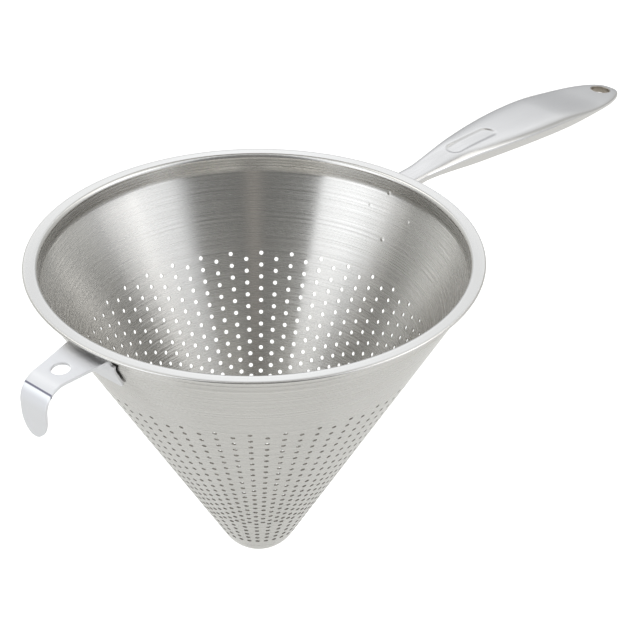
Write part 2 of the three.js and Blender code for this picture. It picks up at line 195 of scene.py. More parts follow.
# Finishes
SPUN_COLOUR = (0.645, 0.63, 0.6)
SPUN_ROUGHNESS = 0.25
SPUN_ANISOTROPY = 1.0
QUARTER_TURN = 0.25
RING_SCALE = 900.0
RING_NOISE = (0.3, 0.7)
RING_ROUGHNESS = (0.18, 0.34)
RING_BUMP = 0.01
RIM_FINISH_DEPTH = 2.1
RIM_ROUGHNESS = 0.16
# Painted shade: dark brown for the walls of the cone's holes, standing in for the shade inside them
HOLE_WALL_PAINTED_SHADE = (0.27, 0.25, 0.22)
HOLE_WALL_FACING = 0.35
GRAIN_SWING = 0.07
GRAIN_BUMP = 0.05
HOOK_COLOUR = (0.77, 0.77, 0.78)
HOOK_ROUGHNESS = 0.48
# Painted shade: a dark line along the crease where the hook's bend starts
CREASE_PAINTED_SHADE = (0.2, 0.2, 0.26)
CREASE_HALF_WIDTH = (0.1, 0.5)
# Painted highlight: a bright band on the hook's bend just beyond the crease
PAINTED_HIGHLIGHT_COLOUR = (0.98, 0.99, 1.0)
PAINTED_HIGHLIGHT_WIDTH = (0.8, 2.4)

# Dents of the bracket's welds inside the cone, by degrees from the handle, height and depth
WELD_MARKS = [(-1.2, -27.0, 1.0), (2.0, -8.3, 0.8), (7.0, -15.5, 0.4), (-8.0, -16.0, 0.4)]
WELD_MARK_RADIUS = 1.3

COLLAR_RADIUS = RIM_RADIUS - FLANGE_WIDTH
WALL_TURN = np.pi / 2 - HALF_ANGLE
COLLAR_TANGENT = COLLAR_BEND * np.tan(HALF_ANGLE / 2)
COLLAR_FOOT = np.array([COLLAR_RADIUS, -COLLAR_HEIGHT])
SLANT = -np.array([np.sin(HALF_ANGLE), np.cos(HALF_ANGLE)])


# Meshes

def mesh_piece(name, points, quads, material):
    """A mesh object from an array of points in millimetres and an array of quads. Points that no quad uses
    are dropped."""
    used, quads = np.unique(quads, return_inverse=True)
    quads = quads.reshape(-1, 4)
    points = points[used] * MM
    mesh = bpy.data.meshes.new(name)
    mesh.vertices.add(len(points))
    mesh.vertices.foreach_set("co", points.ravel())
    mesh.loops.add(quads.size)
    mesh.loops.foreach_set("vertex_index", quads.ravel())
    mesh.polygons.add(len(quads))
    mesh.polygons.foreach_set("loop_start", np.arange(0, quads.size, 4))
    mesh.update(calc_edges=True)
    mesh.validate()
    mesh.polygons.foreach_set("use_smooth", np.full(len(mesh.polygons), True))
    mesh.set_sharp_from_angle(angle=SHARP_EDGE)
    mesh.materials.append(material)
    piece = bpy.data.objects.new(name, mesh)
    bpy.context.scene.collection.objects.link(piece)
    return piece


def grid_quads(rows, columns, first=0, closed=False):
    """Quads of a grid of points stored row by row, each quad row r to r + 1 and column c to c + 1. A closed
    grid joins its last column to its first."""
    index = first + np.arange(rows * columns).reshape(rows, columns)
    if closed:
        index = np.concatenate([index, index[:, :1]], axis=1)
    corners = [index[:-1, :-1], index[1:, :-1], index[1:, 1:], index[:-1, 1:]]
    return np.stack(corners, axis=-1).reshape(-1, 4)


def cap_quads(first, columns, pole):
    """Quads from a closed ring of points to the pole that closes it, each over two steps of the ring."""
    even = np.arange(0, columns, 2)
    corners = [first + even, np.full(len(even), pole), first + (even + 2) % columns, first + even + 1]
    return np.stack(corners, axis=-1)


def ring_quads(outer, inner):
    """Quads between closed rings of points, each ring a row of point numbers."""
    corners = [outer, np.roll(outer, -1, axis=1), np.roll(inner, -1, axis=1), inner]
    return np.stack(corners, axis=-1).reshape(-1, 4)


def thickened(points, normals, quads, thickness):
    """Closed sheet about a middle surface: the points go out and in by half the thickness along the normals,
    the inner side has the same quads turned round, and each edge with one quad gets a wall."""
    count = len(points)
    ahead = np.stack([quads, np.roll(quads, -1, axis=1)], axis=-1).reshape(-1, 2).astype(np.int64)
    there = ahead[:, 0] * count + ahead[:, 1]
    back = ahead[:, 1] * count + ahead[:, 0]
    rim = ahead[~np.isin(there, back)]
    walls = np.stack([rim[:, 1], rim[:, 0], rim[:, 0] + count, rim[:, 1] + count], axis=-1)
    both = np.concatenate([points + normals * thickness / 2, points - normals * thickness / 2])
    return both, np.concatenate([quads, quads[:, ::-1] + count, walls])


# Bent sheet

def bend_step(radius, heading, angle):
    """Step along a bend from one heading to another: radius * (sin, -cos) at the new heading less the old."""
    return radius * np.stack([np.sin(angle) - np.sin(heading), np.cos(heading) - np.cos(angle)], axis=-1)


def along_bends(start, heading, runs, distance):
    """Points and left normals at distances along a centre line of runs (length, turn). On a straight run
    place = start + distance * heading. On a bend of radius length / turn the heading grows evenly with the
    distance, so place = start + radius * (sin heading, -cos heading), less its value at the bend's start."""
    distance = np.asarray(distance, float)
    place = np.array(start, float)
    points = np.zeros(distance.shape + (2,))
    angles = np.zeros(distance.shape)
    begun = 0.0
    for length, turn in runs:
        part = distance - begun
        here = part >= -1e-9
        angle = heading + turn * part / length
        if turn:
            radius = length / turn
            step = bend_step(radius, heading, angle)
            end = bend_step(radius, heading, heading + turn)
        else:
            step = part[..., None] * np.array([np.cos(heading), np.sin(heading)])
            end = length * np.array([np.cos(heading), np.sin(heading)])
        points[here] = (place + step)[here]
        angles[here] = angle[here]
        place = place + end
        heading = heading + turn
        begun += length
    return points, np.stack([-np.sin(angles), np.cos(angles)], axis=-1)


def bend(radius, turn):
    """Run of a bend with this radius."""
    return radius * abs(turn), turn


# Cone

def cone_piece(material):
    """The spun sheet as rings of points: radius and height follow the bent profile from the hem down to the
    tip, x = radius * cos, y = radius * sin. The holes sit in a brick pattern of cells, four grid steps high
    and two wide; each cell's twelve edge points join twelve points on the hole's circle."""
    tip_tangent = TIP_RADIUS * np.sin(WALL_TURN)
    wall = (COLLAR_RADIUS - tip_tangent) / np.sin(HALF_ANGLE)
    tip_height = (COLLAR_FOOT + wall * SLANT)[1] - TIP_RADIUS * (1 - np.cos(WALL_TURN))
    fold = (SHEET + HEM_GAP) / 2
    runs = [
        bend(TIP_RADIUS, WALL_TURN),
        (wall - COLLAR_TANGENT, 0),
        bend(COLLAR_BEND, HALF_ANGLE),
        (COLLAR_HEIGHT - COLLAR_TANGENT - SHEET / 2 - RIM_BEND, 0),
        bend(RIM_BEND, -np.pi / 2),
        (FLANGE_WIDTH - RIM_BEND - fold - SHEET / 2, 0),
        bend(fold, -np.pi),
        (HEM_RETURN, 0),
    ]
    ends = np.cumsum([0] + [length for length, _ in runs])

    rows = FIRST_ROW + np.concatenate([[0], np.cumsum(ROW_PITCHES)])
    between = (rows[1:] + rows[:-1]) / 2
    before = rows[0] - ROW_PITCHES[0] / 2
    after = rows[-1] + ROW_PITCHES[-1] / 2
    halves = np.sort(np.concatenate([[before], rows, between, [after]]))
    levels = np.interp(np.arange(2 * len(halves) - 1) / 2, np.arange(len(halves)), halves)
    collar_end = ends[1] + wall
    stops = [np.linspace(ends[i], ends[i + 1], n + 1)[1:] for i, n in enumerate(RUN_STEPS) if n]
    above_holes = np.linspace(ends[2], collar_end - levels[0], STEPS_ABOVE_HOLES)[1:-1]
    distances = np.concatenate([[0], *stops, above_holes, collar_end - levels])
    distances = np.unique(np.round(distances, 6))[::-1]
    profile, left = along_bends((0.0, tip_height), 0.0, runs, distances)
    profile, left, pole = profile[:-1], left[:-1], profile[-1]

    count = 2 * COLUMNS
    angle = np.arange(count) * 2 * np.pi / count
    first_level = np.argmin(np.abs(distances - (collar_end - levels[0])))

    def turned(radius_height, around):
        """Points of radius and height at angles about the axis."""
        radius, height = radius_height[..., 0], radius_height[..., 1] + 0 * around
        return np.stack([radius * np.cos(around), radius * np.sin(around), height], axis=-1)

    grid = turned(profile[:, None], angle[None]).reshape(-1, 3)
    grid_normals = turned(-left[:, None], angle[None]).reshape(-1, 3)

    full_tops = 4 * np.arange(len(rows))
    short_tops = 4 * np.arange(SHORT_COLUMN_ROWS) + 2
    full, full_top = np.meshgrid(np.arange(1, COLUMNS, 2), full_tops, indexing="ij")
    short, short_top = np.meshgrid(np.arange(0, COLUMNS, 2), short_tops, indexing="ij")
    column = np.concatenate([full.ravel(), short.ravel()])
    top = np.concatenate([full_top.ravel(), short_top.ravel()])

    loop_down = np.array([0, 1, 2, 3, 4, 4, 4, 3, 2, 1, 0, 0])
    loop_across = np.array([0, 0, 0, 0, 0, 1, 2, 2, 2, 2, 2, 1])
    loop_rows = first_level + top[:, None] + loop_down
    loops = loop_rows * count + (2 * column[:, None] + loop_across) % count
    around_hole = np.radians(240 - 30 * np.arange(12))
    slant = levels[top + 2][:, None] + HOLE_RADIUS * np.sin(around_hole)
    hole_profile = COLLAR_FOOT + slant[..., None] * SLANT
    hole_angle = (column[:, None] + 0.5) * 2 * np.pi / COLUMNS
    hole_angle = hole_angle + HOLE_RADIUS * np.cos(around_hole) / hole_profile[..., 0]
    outward = np.array([np.cos(HALF_ANGLE), -np.sin(HALF_ANGLE)])
    holes = turned(hole_profile, hole_angle).reshape(-1, 3)
    hole_normals = turned(np.broadcast_to(outward, hole_profile.shape), hole_angle).reshape(-1, 3)
    hole_index = len(grid) + np.arange(len(holes)).reshape(-1, 12)
    cell_quads = ring_quads(loops, hole_index)

    plain = np.ones((len(profile) - 1, count), bool)
    covered_rows = first_level + top[:, None, None] + np.arange(4)[None, :, None]
    covered_columns = 2 * column[:, None, None] + np.arange(2)[None, None, :]
    plain[covered_rows, covered_columns] = False
    wall_quads = grid_quads(len(profile), count, closed=True)[plain.ravel()]

    pole_quads = cap_quads((len(profile) - 1) * count, count, len(grid) + len(holes))
    points = np.concatenate([grid, holes, [[0, 0, pole[1]]]])
    normals = np.concatenate([grid_normals, hole_normals, [[0, 0, -1]]])
    quads = np.concatenate([wall_quads, cell_quads, pole_quads])
    return mesh_piece("spun_cone", *thickened(points, normals, quads, SHEET), material)


# Strips welded to the cone

def smooth_step(low, high, value):
    """0 below low, 1 above high, 3 t^2 - 2 t^3 between."""
    t = np.clip((value - low) / (high - low), 0, 1)
    return t * t * (3 - 2 * t)


def strip_on_cone(start_slant, sheet, root_bend, plate_turn, runs, root_height, hug, distance, across):
    """Points and normals of a strip that lies on the cone, bends out and goes on flat. Along it the centre
    line gives reach and height. Across it the points curve round the axis by a share of what the cone does,
    reach - hug * (radius - sqrt(radius^2 - across^2)), and this fades out through the root bend."""
    offset = SHEET / 2 + SEAT_GAP + sheet / 2
    wall = start_slant - COLLAR_TANGENT
    collar_bend = bend(COLLAR_BEND + offset, HALF_ANGLE)
    foot = COLLAR_FOOT + start_slant * SLANT + offset * np.array([np.cos(HALF_ANGLE), -np.sin(HALF_ANGLE)])
    upright_start = -COLLAR_HEIGHT + COLLAR_TANGENT
    upright = root_height - root_bend * np.sin(plate_turn) - upright_start
    all_runs = [(wall, 0), collar_bend, (upright, 0), bend(root_bend, -plate_turn), *runs]
    points, left = along_bends(foot, WALL_TURN, all_runs, distance)
    root = wall + collar_bend[0] + upright
    wrap = hug * (1 - smooth_step(root, root + root_bend * plate_turn, distance))
    radius = np.minimum(points[..., 0], COLLAR_RADIUS + offset)
    sag = wrap * (radius - np.sqrt(radius ** 2 - across ** 2))
    place = np.stack([points[..., 0] - sag, across, points[..., 1]], axis=-1)
    tilt = wrap * across / radius
    normal = np.stack([-left[..., 0] * np.cos(tilt), -left[..., 0] * np.sin(tilt), -left[..., 1]], axis=-1)
    return place, normal


def hook_piece(material):
    """The hook as a flat pattern of distance along and across, with the hole's circle joined by rings to a
    window of the grid, then laid along its bent centre line and turned to -X."""
    root_turn = np.pi / 2 + HOOK_SLOPE
    offset = SHEET / 2 + SEAT_GAP + HOOK_SHEET / 2
    plate_start = COLLAR_RADIUS + offset + HOOK_ROOT_BEND * (1 - np.cos(root_turn))
    plate_height = -HOOK_DROP - (plate_start - RIM_RADIUS) * np.tan(HOOK_SLOPE)
    plate = (HOOK_REACH - plate_start) / np.cos(HOOK_SLOPE)
    runs = [(plate, 0), bend(HOOK_BEND, -HOOK_TURN), (HOOK_LEG, 0)]
    wall = HOOK_PAD_LENGTH - COLLAR_TANGENT
    collar = (COLLAR_BEND + offset) * HALF_ANGLE
    upright = plate_height - HOOK_ROOT_BEND * np.sin(root_turn) + COLLAR_HEIGHT - COLLAR_TANGENT
    root = wall + collar + upright
    plate_from = root + HOOK_ROOT_BEND * root_turn
    plate_to = plate_from + plate
    end = plate_to + HOOK_BEND * HOOK_TURN + HOOK_LEG
    hole_at = plate_from + (HOOK_HOLE_REACH - plate_start) / np.cos(HOOK_SLOPE)

    def half_width(distance):
        """Pad, tapering plate and leg by straight tapers, closed by an ellipse at the end and small round
        corners at the pad's foot."""
        places = [0, root, root + HOOK_SHOULDER, plate_to, end - HOOK_END_ROUND]
        widths = [HOOK_PAD_HALF_FOOT, HOOK_PAD_HALF_TOP, HOOK_HALF_ROOT, HOOK_HALF_BEND, HOOK_HALF_END]
        taper = np.interp(distance, places, widths)
        tail = np.clip((distance - end + HOOK_END_ROUND) / HOOK_END_ROUND, 0, 1)
        head = np.clip(1 - distance / HOOK_PAD_CORNER, 0, 1)
        return taper * np.sqrt(1 - tail ** 2) - HOOK_PAD_CORNER * (1 - np.sqrt(1 - head ** 2))

    window_from, window_to = hole_at - HOOK_HOLE_WINDOW, hole_at + HOOK_HOLE_WINDOW
    foot = HOOK_PAD_CORNER * (1 - np.cos(np.linspace(0, np.pi / 2, 7)))
    pad = np.linspace(HOOK_PAD_CORNER + 0.6, root, 16)
    before = np.concatenate([foot, pad, [root + HOOK_SHOULDER]])
    to_hole = np.linspace(root + 0.3, window_from, 9)
    by_hole = np.linspace(window_from, window_to, 13)[1:]
    to_end = np.linspace(window_to, end - HOOK_END_ROUND, 22)[1:]
    tail = end - HOOK_END_ROUND + HOOK_END_ROUND * np.sin(np.linspace(0, HOOK_END_SWEEP, 16))[1:]
    stops = np.concatenate([before, to_hole, by_hole, to_end, tail])
    shares = np.linspace(-1, 1, 25)
    distance = np.broadcast_to(stops[:, None], (len(stops), len(shares)))
    across = half_width(stops)[:, None] * shares[None]
    pattern = np.stack([distance, across], axis=-1).reshape(-1, 2)

    first = len(before) + len(to_hole) - 1
    last = first + len(by_hole)
    low, high = 4, 20
    down = np.arange(first, last + 1)
    side = np.arange(low, high + 1)
    loop_rows = [down, np.full(len(side) - 1, last), down[-2::-1], np.full(len(side) - 2, first)]
    loop_columns = [np.full(len(down), low), side[1:], np.full(len(down) - 1, high), side[-2:0:-1]]
    loop = np.concatenate(loop_rows) * len(shares) + np.concatenate(loop_columns)
    edge = pattern[loop]
    turn = np.arctan2(edge[:, 1], edge[:, 0] - hole_at)
    circle = np.stack([hole_at + HOOK_HOLE_RADIUS * np.cos(turn), HOOK_HOLE_RADIUS * np.sin(turn)], axis=-1)
    ring_shares = np.array([0.35, 0.7, 1.0])[:, None, None]
    rings = edge + (circle - edge) * ring_shares
    new_index = len(pattern) + np.arange(rings[..., 0].size).reshape(len(ring_shares), -1)
    ring_index = np.concatenate([loop[None], new_index])
    hole_quads = ring_quads(ring_index[:-1], ring_index[1:])
    keep = np.ones((len(stops) - 1, len(shares) - 1), bool)
    keep[first:last, low:high] = False
    plain_quads = grid_quads(len(stops), len(shares))[keep.ravel()]

    flat = np.concatenate([pattern, rings.reshape(-1, 2)])
    points, normals = strip_on_cone(HOOK_PAD_LENGTH, HOOK_SHEET, HOOK_ROOT_BEND, root_turn, runs,
                                    plate_height, HOOK_PAD_HUG, flat[:, 0], flat[:, 1])
    half_turn = np.array([-1, -1, 1])
    quads = np.concatenate([plain_quads, hole_quads])[:, ::-1]
    body = thickened(points * half_turn, normals * half_turn, quads, HOOK_SHEET)
    return bevelled(mesh_piece("bent_hook", *body, material), HOOK_EDGE_ROUND)


def bracket_piece(material):
    """The bracket: a pad that narrows to a round foot, and a tongue into the handle's neck."""
    root_turn = np.pi / 2
    offset = SHEET / 2 + SEAT_GAP + BRACKET_SHEET / 2
    height = seam_height(NECK_START)
    tongue = TONGUE_END - COLLAR_RADIUS - offset - BRACKET_ROOT_BEND
    wall = BRACKET_PAD_LENGTH - COLLAR_TANGENT
    collar = (COLLAR_BEND + offset) * HALF_ANGLE
    upright = height - BRACKET_ROOT_BEND + COLLAR_HEIGHT - COLLAR_TANGENT
    root = wall + collar + upright
    end = root + BRACKET_ROOT_BEND * root_turn + tongue
    foot = np.linspace(0, np.pi / 2, 10)[1:]
    pad_end, tongue_start = root - 1, root - 0.9
    pad = np.linspace(BRACKET_HALF_FOOT, pad_end, 16)[1:]
    stops = np.concatenate([BRACKET_HALF_FOOT * (1 - np.cos(foot)), pad, np.linspace(tongue_start, end, 30)])
    places = [0, BRACKET_HALF_FOOT, pad_end, tongue_start, end]
    halves = [BRACKET_HALF_FOOT, BRACKET_HALF_FOOT, BRACKET_HALF_TOP, TONGUE_HALF_WIDTH, TONGUE_HALF_WIDTH]
    widths = np.interp(stops, places, halves)
    round_foot = np.sqrt(1 - np.clip(1 - stops / BRACKET_HALF_FOOT, 0, 1) ** 2)
    shares = np.linspace(-1, 1, 17)
    distance = np.repeat(stops, len(shares))
    across = (widths * round_foot)[:, None] * shares
    points, normals = strip_on_cone(BRACKET_PAD_LENGTH, BRACKET_SHEET, BRACKET_ROOT_BEND, root_turn,
                                    [(tongue, 0)], height, 1.0, distance, across.ravel())
    quads = grid_quads(len(stops), len(shares))[:, ::-1]
    body = thickened(points, normals, quads, BRACKET_SHEET)
    return bevelled(mesh_piece("weld_bracket", *body, material), BRACKET_EDGE_ROUND)


def bevelled(piece, width):
    """Rounds the piece's sharp edges over and keeps the result as its mesh."""
    modifier = piece.modifiers.new("edge", "BEVEL")
    modifier.width = width * MM
    modifier.segments = 2
    modifier.limit_method = "ANGLE"
    modifier.angle_limit = BEVELLED_EDGE
    return applied(piece)


def applied(piece):
    """Makes what the modifiers give the piece's own mesh."""
    shown = piece.evaluated_get(bpy.context.evaluated_depsgraph_get())
    mesh = bpy.data.meshes.new_from_object(shown)
    mesh.name = piece.name
    piece.modifiers.clear()
    piece.data = mesh
    mesh.set_sharp_from_angle(angle=SHARP_EDGE)
    return piece


# Handle

def ease(low, high, share):
    """Half a cosine wave from low to high."""
    return low + (high - low) * (1 - np.cos(np.pi * np.clip(share, 0, 1))) / 2


def seam_height(reach):
    """Height of the handle's seam: a flat arch."""
    return SEAM_TOP - (reach - SEAM_TOP_REACH) ** 2 / (2 * SEAM_ARCH_RADIUS)


def share(reach, start, end):
    """Share of the way from one reach to another, held to 0 and 1 outside."""
    return np.clip((reach - start) / (end - start), 0, 1)


def handle_half_width(reach, inset):
    """A sine rise from the neck to the widest place, raised to a power, then a blunt oval to the end."""
    neck, grip = NECK_HALF_WIDTH - inset, GRIP_HALF_WIDTH - inset
    flare = np.sin(np.pi / 2 * share(reach, NECK_END, WIDEST)) ** FLARE_POWER
    along = share(reach, WIDEST, HANDLE_END - inset)
    return (neck + (grip - neck) * flare) * (1 - along ** END_OVAL_POWER) ** END_OVAL_ROOT


def handle_half_height(reach, inset, full):
    """Rises from the neck to the grip, falls again to the thin end and closes there."""
    rise = ease(NECK_HALF_HEIGHT, full, share(reach, NECK_END, GRIP_FULL_FROM))
    fall = ease(0, full - END_HALF_HEIGHT, share(reach, GRIP_FULL_TO, END_THIN_FROM))
    along = share(reach, WIDEST, HANDLE_END - inset)
    return (rise - fall - inset) * (1 - along ** END_BLUNT_POWER) ** END_BLUNT_ROOT


def thumb_dip(reach, across):
    """Depth of the thumb recess: full inside a slot with round ends, easing to nothing over its edge."""
    middle = np.clip(reach, THUMB_START + THUMB_HALF_WIDTH, THUMB_END - THUMB_HALF_WIDTH)
    outside = np.hypot(reach - middle, across) - THUMB_HALF_WIDTH
    return THUMB_DEPTH * (1 - smooth_step(-THUMB_EDGE, 0, outside))


def handle_skin(inset):
    """Skin of the handle as sections along its reach. Each section is a squared oval in polar form, 1 /
    (|cos|^n + |sin|^n)^(1/n), scaled to the half width and to the crown or the belly."""
    end = HANDLE_END - inset
    straight = np.linspace(NECK_START, WIDEST, HANDLE_SECTIONS)[:-1]
    rounded = WIDEST + (end - WIDEST) * np.sin(np.linspace(0, np.pi / 2, HANDLE_END_SECTIONS))[:-1]
    reach = np.concatenate([straight, rounded])[:, None]
    turn = np.linspace(0, 2 * np.pi, HANDLE_SECTION_POINTS, endpoint=False)[None]
    above = np.sin(turn) >= 0
    power = np.where(above, CROWN_SQUARENESS, BELLY_SQUARENESS)
    size = (np.abs(np.cos(turn)) ** power + np.abs(np.sin(turn)) ** power) ** (-1 / power)
    crown = handle_half_height(reach, inset, CROWN_HEIGHT)
    belly = handle_half_height(reach, inset, BELLY_HEIGHT)
    across = handle_half_width(reach, inset) * size * np.cos(turn)
    height = seam_height(reach) + np.where(above, crown, belly) * size * np.sin(turn)
    on_crown = np.sin(turn) > 0.3
    height = height - np.where(on_crown, thumb_dip(reach, across), 0)
    points = np.stack([reach + 0 * across, across, height], axis=-1).reshape(-1, 3)
    return np.concatenate([points, [[end, 0, seam_height(end)]]]), reach.size, turn.size


def skin_quads(rows, columns):
    """Quads of a skin whose last point is the pole that closes its last section."""
    cap = cap_quads((rows - 1) * columns, columns, rows * columns)
    return np.concatenate([grid_quads(rows, columns, closed=True), cap])


def handle_piece(material):
    """The hollow handle: an outer skin, an inner one drawn in by the sheet, joined round the open neck, with
    the hanging hole cut through."""
    outer, rows, columns = handle_skin(0.0)
    inner, _, _ = handle_skin(SHELL_SHEET)
    quads = skin_quads(rows, columns)[:, ::-1]
    here = np.arange(columns)
    ahead = (here + 1) % columns
    neck = np.stack([here, ahead, ahead + len(outer), here + len(outer)], axis=-1)
    all_quads = np.concatenate([quads, quads[:, ::-1] + len(outer), neck])
    body = mesh_piece("hollow_handle", np.concatenate([outer, inner]), all_quads, material)
    radius, half = HANG_BORE_RADIUS + SLEEVE_WALL + SLEEVE_CLEARANCE, HOLE_BAR_HALF
    bar = lathe_piece("hole_bar", [[0, -half], [radius, -half], [radius, half], [0, half]], material)
    cut = body.modifiers.new("hole", "BOOLEAN")
    cut.object = bar
    cut.solver = "EXACT"
    applied(body)
    bpy.data.objects.remove(bar)
    return body


def lathe_piece(name, outline, material):
    """Outline of radius and height turned about the hanging hole's axis, which is square to the seam."""
    outline = np.array(outline, float)
    turn = np.arange(SLEEVE_SIDES) * 2 * np.pi / SLEEVE_SIDES
    radius, height = outline[:, :1], outline[:, 1:]
    slope = (HANG_REACH - SEAM_TOP_REACH) / SEAM_ARCH_RADIUS
    cos, sin = np.cos(np.arctan(slope)), np.sin(np.arctan(slope))
    side, ahead = radius * np.sin(turn), radius * np.cos(turn)
    x = HANG_REACH + ahead * cos + height * sin
    z = seam_height(HANG_REACH) - ahead * sin + height * cos
    points = np.stack([x, side + 0 * x, z], axis=-1).reshape(-1, 3)
    quads = grid_quads(len(outline), SLEEVE_SIDES, closed=True)[:, ::-1]
    return mesh_piece(name, points, quads, material)


def sleeve_piece(material):
    """Tube with round lips: a rounded rectangle of wall by length, turned about the hole's axis."""
    half = handle_half_height(HANG_REACH, 0.0, CROWN_HEIGHT) - SLEEVE_SUNK
    wall = SLEEVE_WALL / 2
    turn = np.linspace(0, np.pi, 9)
    top = np.stack([wall * np.cos(turn), half - wall + wall * np.sin(turn)], axis=-1)
    outline = np.concatenate([top, -top, top[:1]])
    outline[:, 0] += HANG_BORE_RADIUS + wall
    return lathe_piece("hole_sleeve", outline, material)


# Materials

def steel(name, colour, roughness, anisotropy=0.0):
    """Bare steel shader with its node tree, ready for its marks."""
    material = bpy.data.materials.new(name)
    material.use_nodes = True
    shader = material.node_tree.nodes["Principled BSDF"]
    shader.inputs["Base Color"].default_value = (*colour, 1)
    shader.inputs["Metallic"].default_value = 1
    shader.inputs["Roughness"].default_value = roughness
    shader.inputs["Anisotropic"].default_value = anisotropy
    return material, material.node_tree, shader


def node(tree, kind, **values):
    """A node with its properties set, and its inputs set or linked by name."""
    made = tree.nodes.new(kind)
    for key, value in values.items():
        if key == "inputs":
            for name, item in value.items():
                if isinstance(item, bpy.types.NodeSocket):
                    tree.links.new(item, made.inputs[name])
                else:
                    made.inputs[name].default_value = item
        else:
            setattr(made, key, value)
    return made


def math_node(tree, operation, *values):
    """Result of a math node on numbers and sockets."""
    made = node(tree, "ShaderNodeMath", operation=operation, inputs=dict(enumerate(values)))
    return made.outputs["Value"]


def vector_node(tree, operation, *values):
    """Result of a vector math node: a number for a length, a distance or a dot product, else a vector."""
    made = node(tree, "ShaderNodeVectorMath", operation=operation, inputs=dict(enumerate(values)))
    gives_number = operation in ("LENGTH", "DISTANCE", "DOT_PRODUCT")
    return made.outputs["Value" if gives_number else "Vector"]


def ranged(tree, value, low, high, at_low=0.0, at_high=1.0, kind="LINEAR"):
    """Number that goes from one value at low to another at high and stays there outside."""
    made = node(tree, "ShaderNodeMapRange", interpolation_type=kind, inputs={
        "Value": value, "From Min": low, "From Max": high, "To Min": at_low, "To Max": at_high})
    return made.outputs["Result"]


def mixed(tree, factor, first, second):
    """Colour from the first one at factor 0 to the second one at factor 1."""
    made = node(tree, "ShaderNodeMixRGB", inputs={"Fac": factor, "Color1": first, "Color2": second})
    return made.outputs["Color"]


def weld_marks(tree, place):
    """Sum of a smooth hill over each weld's place on the inside of the cone."""
    total = 0.0
    for degrees, height, depth in WELD_MARKS:
        around = np.radians(degrees)
        inward = max(-height - COLLAR_HEIGHT, 0) * np.tan(HALF_ANGLE)
        radius = COLLAR_RADIUS - inward - SHEET / 2
        centre = np.array([radius * np.cos(around), radius * np.sin(around), height]) * MM
        away = vector_node(tree, "DISTANCE", place, centre.tolist())
        hill = ranged(tree, away, 0.0, WELD_MARK_RADIUS * MM, depth, 0.0, "SMOOTHSTEP")
        total = math_node(tree, "ADD", hill, total)
    return total


def punched_edge(tree, place, height):
    """1 on the walls of the holes, whose normals lie across the cone's own: the cone's normal at a place is
    its direction from the axis times the cosine of the half angle, less the sine of the half angle upward."""
    outward = vector_node(tree, "NORMALIZE", vector_node(tree, "MULTIPLY", place, (1, 1, 0)))
    level, upward = float(np.cos(HALF_ANGLE)), -float(np.sin(HALF_ANGLE))
    normal = vector_node(tree, "MULTIPLY_ADD", outward, (level, level, level), (0, 0, upward))
    surface = node(tree, "ShaderNodeNewGeometry")
    facing = vector_node(tree, "DOT_PRODUCT", surface.outputs["True Normal"], normal)
    edge = math_node(tree, "LESS_THAN", math_node(tree, "ABSOLUTE", facing), HOLE_WALL_FACING)
    below_collar = math_node(tree, "LESS_THAN", height, -COLLAR_HEIGHT * MM)
    return math_node(tree, "MULTIPLY", edge, below_collar)


def spun_steel():
    """Spun sheet: fine rings at constant distance along the slant, in the roughness and the bump, highlights
    drawn out down the slant, a clearer rim, painted shade as a dark brown colour on the walls of the punched
    holes, and the dents of the welds."""
    material, tree, shader = steel("spun_steel", SPUN_COLOUR, SPUN_ROUGHNESS, SPUN_ANISOTROPY)
    place = node(tree, "ShaderNodeTexCoord").outputs["Object"]
    height = node(tree, "ShaderNodeSeparateXYZ", inputs={"Vector": place}).outputs["Z"]
    radius = vector_node(tree, "LENGTH", vector_node(tree, "MULTIPLY", place, (1, 1, 0)))
    outward = math_node(tree, "MULTIPLY", radius, float(np.sin(HALF_ANGLE)))
    slant = math_node(tree, "MULTIPLY_ADD", height, float(np.cos(HALF_ANGLE)), outward)
    rings = node(tree, "ShaderNodeTexNoise", noise_dimensions="1D", inputs={
        "W": slant, "Scale": RING_SCALE, "Detail": 4.0, "Roughness": 0.7}).outputs["Fac"]
    wall = ranged(tree, rings, *RING_NOISE, *RING_ROUGHNESS)
    on_rim = math_node(tree, "GREATER_THAN", height, -RIM_FINISH_DEPTH * MM)
    rough = node(tree, "ShaderNodeMix", data_type="FLOAT", inputs={
        "Factor": on_rim, "A": wall, "B": RIM_ROUGHNESS})
    tree.links.new(rough.outputs["Result"], shader.inputs["Roughness"])
    # Painted shade: the walls of the holes are coloured dark brown for the shade inside them
    punched = punched_edge(tree, place, height)
    shade = mixed(tree, punched, (*SPUN_COLOUR, 1), (*HOLE_WALL_PAINTED_SHADE, 1))
    tree.links.new(shade, shader.inputs["Base Color"])
    turning = node(tree, "ShaderNodeBump", inputs={
        "Strength": RING_BUMP, "Distance": 0.1 * MM, "Height": rings})
    welds = node(tree, "ShaderNodeBump", inputs={
        "Strength": 1.0, "Distance": 0.3 * MM, "Height": weld_marks(tree, place),
        "Normal": turning.outputs["Normal"]})
    tree.links.new(welds.outputs["Normal"], shader.inputs["Normal"])
    around = node(tree, "ShaderNodeTangent", direction_type="RADIAL", axis="Z").outputs["Tangent"]
    surface = node(tree, "ShaderNodeNewGeometry")
    across = vector_node(tree, "CROSS_PRODUCT", surface.outputs["Normal"], around)
    grain = node(tree, "ShaderNodeMix", data_type="VECTOR", inputs={0: on_rim, 4: around, 5: across})
    tree.links.new(grain.outputs[1], shader.inputs["Tangent"])
    shader.inputs["Anisotropic Rotation"].default_value = QUARTER_TURN
    return material


